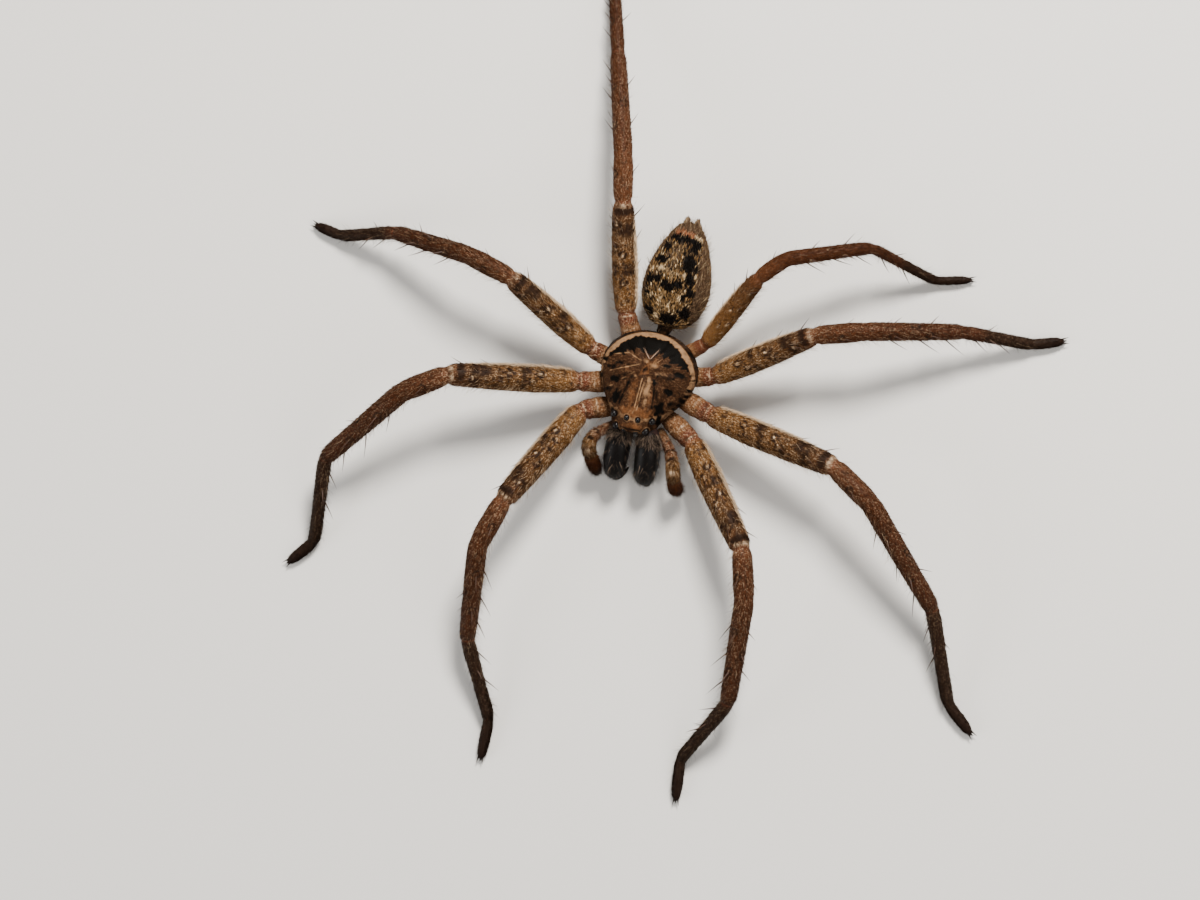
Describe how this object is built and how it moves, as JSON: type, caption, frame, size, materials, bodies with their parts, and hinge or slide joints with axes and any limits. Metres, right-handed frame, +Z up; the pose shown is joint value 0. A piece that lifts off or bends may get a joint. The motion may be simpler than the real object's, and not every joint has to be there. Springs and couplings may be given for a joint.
{
  "type": "huntsman spider",
  "caption": "Still, life-size huntsman spider standing with its long legs spread flat to the sides, its jaws forward and its abdomen behind.",
  "frame": {"origin": "on the floor that the spider stands on, in the middle of the rectangle that its legs span", "axes": "+Z up from the floor; the spider faces -Y, turned about 13 degrees to its own right, and its left side is towards +X"},
  "size_m": [0.0842, 0.0938, 0.0107],
  "materials": {
    "carapace": "satin, finely hairy brown shield with a tan rim",
    "abdomen": "soft, hairy skin mottled ochre, cream and black",
    "coxa": "pinkish tan, finely hairy",
    "femur": "tan speckled dark brown, finely hairy",
    "tibia": "reddish brown, finely hairy",
    "metatarsus": "very dark brown, densely hairy",
    "tarsus": "blackish brown, velvety",
    "jaw": "glossy black, bristly inner margin",
    "fang": "polished black",
    "feeler": "pale tan, finely hairy, with a dark tip",
    "eye": "polished black lens"
  },
  "bodies": {
    "root": {"cephalothorax": "carapace", "abdomen": "abdomen", "chelicera_left": "jaw", "fang_left": "fang", "pedipalp_left": "feeler", "pedipalp_tarsus_left": "feeler", "eye_front_middle_left": "eye", "eye_front_side_left": "eye", "eye_rear_middle_left": "eye", "eye_rear_side_left": "eye", "chelicera_right": "jaw", "fang_right": "fang", "pedipalp_right": "feeler", "pedipalp_tarsus_right": "feeler", "eye_front_middle_right": "eye", "eye_front_side_right": "eye", "eye_rear_middle_right": "eye", "eye_rear_side_right": "eye", "coxa_left_1": "coxa", "femur_left_1": "femur", "tibia_left_1": "tibia", "metatarsus_left_1": "metatarsus", "tarsus_left_1": "tarsus", "coxa_left_2": "coxa", "femur_left_2": "femur", "tibia_left_2": "tibia", "metatarsus_left_2": "metatarsus", "tarsus_left_2": "tarsus", "coxa_left_3": "coxa", "femur_left_3": "femur", "tibia_left_3": "tibia", "metatarsus_left_3": "metatarsus", "tarsus_left_3": "tarsus", "coxa_left_4": "coxa", "femur_left_4": "femur", "tibia_left_4": "tibia", "metatarsus_left_4": "metatarsus", "tarsus_left_4": "tarsus", "coxa_right_1": "coxa", "femur_right_1": "femur", "tibia_right_1": "tibia", "metatarsus_right_1": "metatarsus", "tarsus_right_1": "tarsus", "coxa_right_2": "coxa", "femur_right_2": "femur", "tibia_right_2": "tibia", "metatarsus_right_2": "metatarsus", "tarsus_right_2": "tarsus", "coxa_right_3": "coxa", "femur_right_3": "femur", "tibia_right_3": "tibia", "metatarsus_right_3": "metatarsus", "tarsus_right_3": "tarsus", "coxa_right_4": "coxa", "femur_right_4": "femur", "tibia_right_4": "tibia", "metatarsus_right_4": "metatarsus", "tarsus_right_4": "tarsus"}
  },
  "joints": []
}
